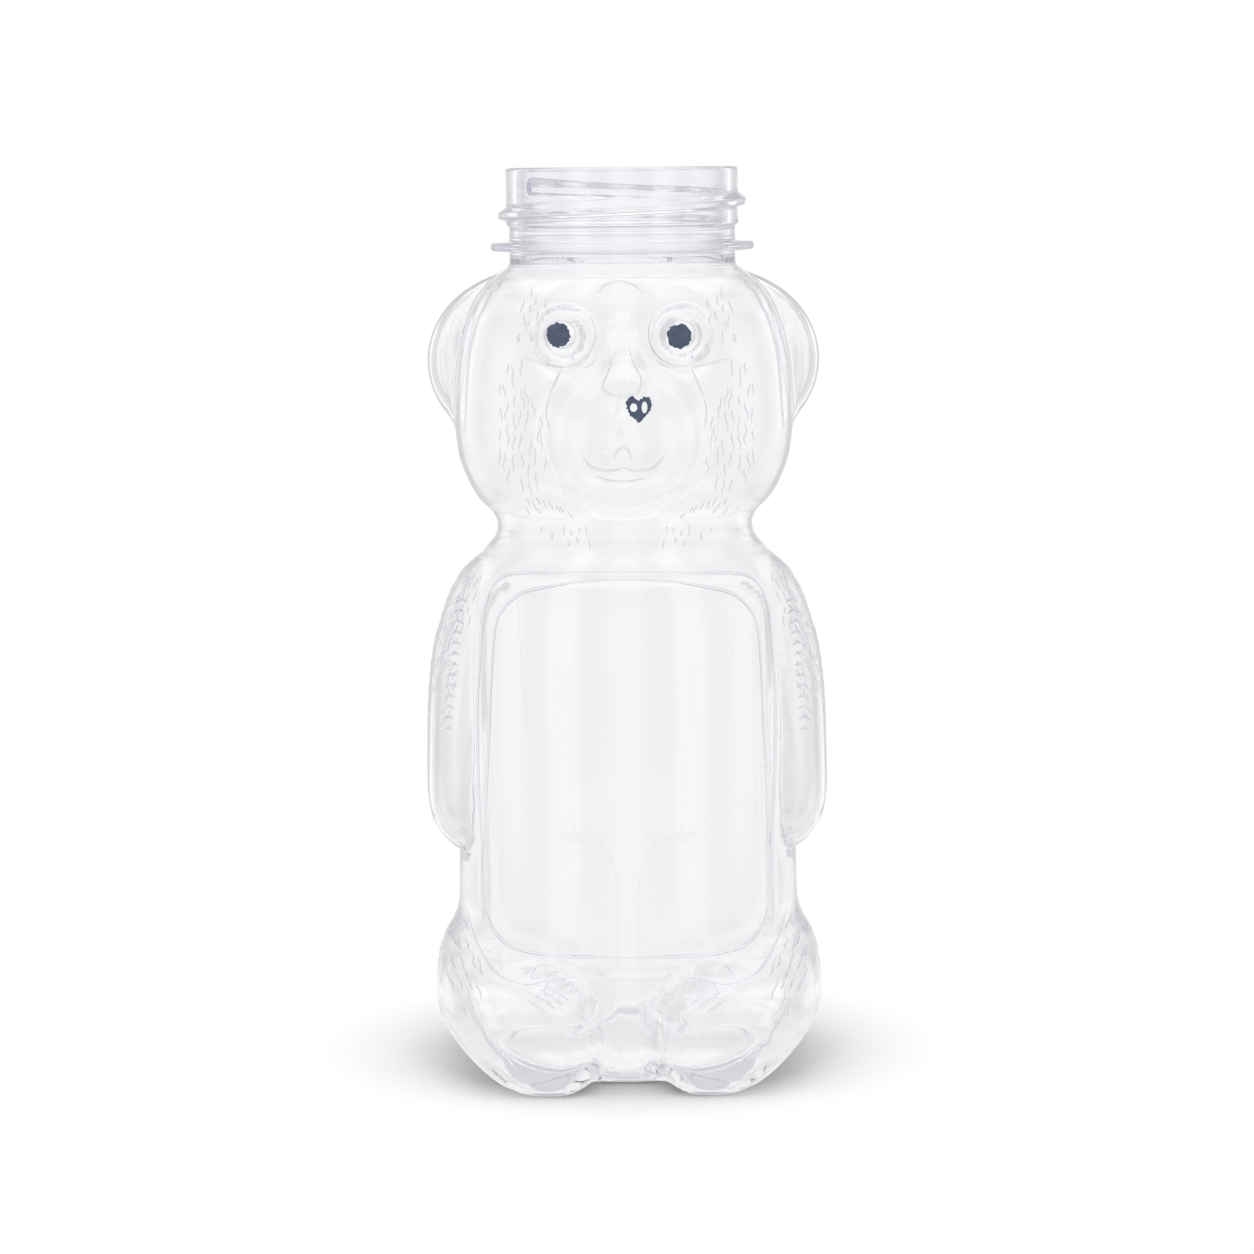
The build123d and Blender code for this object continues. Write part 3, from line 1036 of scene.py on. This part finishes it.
def floor_white():
    """Matt white floor that keeps the soft shadow close to the bottle, with a painted glow that
    covers the shadow farther out, and is a white room to gloss and glass.
    """
    material, tree, shader = new_material("floor_white")
    shader["Base Color"].default_value = grey(0.95)
    shader["Roughness"].default_value = 0.9
    shader["Specular IOR Level"].default_value = 0.0
    place = add(tree, "ShaderNodeTexCoord", {})["Object"]
    length = add(tree, "ShaderNodeVectorMath", {0: place}, operation="LENGTH")["Value"]
    far = calculate(tree, "MINIMUM", calculate(tree, "DIVIDE", length, FLAGS_FULL), 1.0)
    room = mixed(tree, far, grey(1.0), room_flags(tree, place))
    path = add(tree, "ShaderNodeLightPath", {})
    seen = calculate(tree, "MAXIMUM", path["Is Glossy Ray"], path["Is Transmission Ray"])
    glow = add(tree, "ShaderNodeEmission",
               {"Color": mixed(tree, seen, grey(FLOOR_WHITE), room),
                "Strength": ranged(tree, length, *GLOW_CHANGE)})
    # Painted light: past these distances the floor's glow covers the bottle's shadow
    own = calculate(tree, "MAXIMUM", seen, ranged(tree, length, *GLOW_OVER_SHADOW))
    matt = tree.nodes["Principled BSDF"].outputs["BSDF"]
    either = add(tree, "ShaderNodeMixShader", {"Fac": own, 1: matt, 2: glow["Emission"]})
    tree.links.new(either["Shader"], tree.nodes["Material Output"].inputs["Surface"])
    return material


def world_light(scene):
    """A white room: plain to the camera, with the bands and flags for gloss and glass."""
    world = bpy.data.worlds.new("white_studio")
    world.use_nodes = True
    world.cycles.sampling_method = "NONE"
    tree = world.node_tree
    direction = add(tree, "ShaderNodeTexCoord", {})["Generated"]
    height = ranged(tree, add(tree, "ShaderNodeSeparateXYZ", {"Vector": direction})["Z"], -1.0, 1.0)
    bands = ramp(tree, height, ROOM_HEIGHTS)
    room = mixed(tree, 1.0, room_flags(tree, direction), bands, "MULTIPLY")
    path = add(tree, "ShaderNodeLightPath", {})
    light = mixed(tree, path["Is Diffuse Ray"], room, ramp(tree, height, ROOM_LIGHT))
    white = mixed(tree, path["Is Camera Ray"], light, grey(1.0))
    tree.links.new(white, tree.nodes["Background"].inputs["Color"])
    scene.world = world


def place_camera(scene):
    """The photograph's camera."""
    camera = placed("camera", bpy.data.cameras.new("camera"))
    camera.data.sensor_width = SENSOR_WIDTH
    camera.data.lens = FOCAL_PIXELS / IMAGE_SIDE * SENSOR_WIDTH
    camera.data.clip_start = 0.01
    camera.location = Vector(CAMERA_PLACE) * MM
    camera.rotation_euler = camera_turn().to_euler()
    scene.camera = camera
    scene.view_settings.view_transform = "Standard"


# The add-on


class BearBottleSizes(bpy.types.PropertyGroup):
    wall: FloatProperty(
        name="Wall", description="Thickness of the blown wall", default=0.0006, unit="LENGTH")
    columns: IntProperty(name="Columns", description="Points round the shell", default=304)
    thread_pitch: FloatProperty(
        name="Thread pitch", description="Rise in one turn", default=0.00423, unit="LENGTH")
    thread_turns: FloatProperty(
        name="Thread turns", description="Length of the thread in turns", default=1.55)
    thread_height: FloatProperty(
        name="Thread height", description="Rise of the thread out of the neck", default=0.0012,
        unit="LENGTH")
    stroke_width: FloatProperty(
        name="Stroke width", description="Width of a fur stroke", default=0.0003, unit="LENGTH")
    line_width: FloatProperty(
        name="Line width", description="Width of a moulded line", default=0.00036, unit="LENGTH")


class BearBottleColours(bpy.types.PropertyGroup):
    plastic: FloatVectorProperty(
        name="Plastic", description="Colour of light that has come through much plastic",
        subtype="COLOR", default=(0.42, 0.45, 0.85))
    plastic_density: FloatProperty(
        name="Plastic density", description="How much light the plastic takes", default=16.0)
    surface: FloatVectorProperty(
        name="Surface", description="Share of the light that each surface lets through",
        subtype="COLOR", default=(0.988, 0.989, 0.995))
    ink: FloatVectorProperty(
        name="Ink", description="Ink of the eyes and nose", subtype="COLOR",
        default=(0.036, 0.05, 0.095))
    ink_worn: FloatVectorProperty(
        name="Thin ink", description="Where the ink is thin", subtype="COLOR",
        default=(0.10, 0.13, 0.21))


class BearBottleSettings(bpy.types.PropertyGroup):
    sizes: PointerProperty(type=BearBottleSizes, name="Sizes", description="Sizes in metres")
    colours: PointerProperty(type=BearBottleColours, name="Colours", description="Colours")


class BEAR_OT_shell(bpy.types.Operator):
    """Blow the clear bear with its threaded neck as one closed wall"""
    bl_idname = "bear.shell"
    bl_label = "Bottle shell"

    def execute(self, context):
        points, faces = shell_mesh(context.scene.bear_bottle.sizes)
        plastic = shared_material("blown_plastic", clear_plastic)
        shell = new_piece("bottle_shell", points, faces, plastic)
        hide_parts("bear_body", "neck_finish")
        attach(shell, "root")
        return {"FINISHED"}


class BEAR_OT_fur(bpy.types.Operator):
    """Lay the moulded fur strokes on the head, arms and thighs"""
    bl_idname = "bear.fur"
    bl_label = "Fur strokes"

    def execute(self, context):
        girth, surface = context.scene.bear_bottle.sizes.stroke_width / 2, shell_surface()
        ahead = mirrored([stroke for patch in FRONT_FUR for stroke in fur(*patch)])
        beside = [stroke for patch in SIDE_FUR for stroke in fur(*patch)]
        lines = laid(ahead, lambda x, y: sight(surface, x, y), girth * FUR_SUNK)
        for side in (-1, 1):
            lines += laid(beside, lambda x, y: side_sight(surface, side, x, y), girth * FUR_SUNK)
        ridges("fur_strokes", lines, girth, sides=6)
        return {"FINISHED"}


class BEAR_OT_lines(bpy.types.Operator):
    """Lay the mould's lines: face, hands, toes, the edge of the label panel and the stipple"""
    bl_idname = "bear.lines"
    bl_label = "Moulded lines"

    def execute(self, context):
        girth, surface = context.scene.bear_bottle.sizes.line_width / 2, shell_surface()
        drawn = [
            ("face_lines", FACE_LINES + mirrored(CHEEK_LINES) + eye_rings(), 1.0),
            ("limb_lines", mirrored(LIMB_LINES + arm_ribs()), 1.0),
            ("panel_edge", mirrored(PANEL_LINES), PANEL_EDGE_STOUT),
        ]
        for name, lines, stout in drawn:
            lines = laid(lines, lambda x, y: sight(surface, x, y), girth * stout * LINE_SUNK)
            ridges(name, lines, girth * stout, sides=8)
        fine = girth * STIPPLE_STOUT
        ridges("base_stipple", stipple(fine), fine, sides=5)
        return {"FINISHED"}


class BEAR_OT_prints(bpy.types.Operator):
    """Print the eyes and the nose"""
    bl_idname = "bear.prints"
    bl_label = "Printed eyes and nose"

    def execute(self, context):
        for name, node, place in EYE_PRINTS:
            outline = ragged_round(*place)
            middle = outline.mean(axis=0)
            printed_spot(name, node, [(outline, middle + (outline - middle) * PRINT_MIDDLE)])
        patches = []
        for seed, (outline, middle, radii) in enumerate(NOSE_HALVES):
            half = ragged_half(outline, seed)
            away = half - middle
            patches.append((half, middle + away / np.hypot(*away.T)[:, None] * radii))
        printed_spot("nose_ink", "nose_print", patches)
        return {"FINISHED"}


class BEAR_OT_stage(bpy.types.Operator):
    """Lay the white floor, light it softly and set the camera"""
    bl_idname = "bear.stage"
    bl_label = "Stage"

    def execute(self, context):
        side = FLOOR_HALF_SIDE
        corners = [(-side, -side, 0), (side, -side, 0), (side, side, 0), (-side, side, 0)]
        floor = new_piece("floor", corners, [(0, 1, 2, 3)], floor_white(), smooth=False)
        world_light(context.scene)
        place_camera(context.scene)
        return {"FINISHED"}


class BEAR_PT_panel(bpy.types.Panel):
    bl_idname = "BEAR_PT_panel"
    bl_label = "Bear bottle"
    bl_space_type = "VIEW_3D"
    bl_region_type = "UI"
    bl_category = "Bear bottle"

    def draw(self, context):
        settings = context.scene.bear_bottle
        for group in (settings.sizes, settings.colours):
            for name in group.bl_rna.properties.keys():
                if name not in ("rna_type", "name"):
                    self.layout.prop(group, name)
        for step in STEPS:
            self.layout.operator(step.bl_idname)


STEPS = (BEAR_OT_shell, BEAR_OT_fur, BEAR_OT_lines, BEAR_OT_prints, BEAR_OT_stage)
CLASSES = (BearBottleSizes, BearBottleColours, BearBottleSettings, *STEPS, BEAR_PT_panel)


def register():
    for item in CLASSES:
        bpy.utils.register_class(item)
    bpy.types.Scene.bear_bottle = PointerProperty(type=BearBottleSettings)


def unregister():
    del bpy.types.Scene.bear_bottle
    for item in reversed(CLASSES):
        bpy.utils.unregister_class(item)


def main():
    register()
    bpy.ops.bear.shell()
    bpy.ops.bear.fur()
    bpy.ops.bear.lines()
    bpy.ops.bear.prints()
    bpy.ops.bear.stage()


if __name__ == "__main__":
    main()
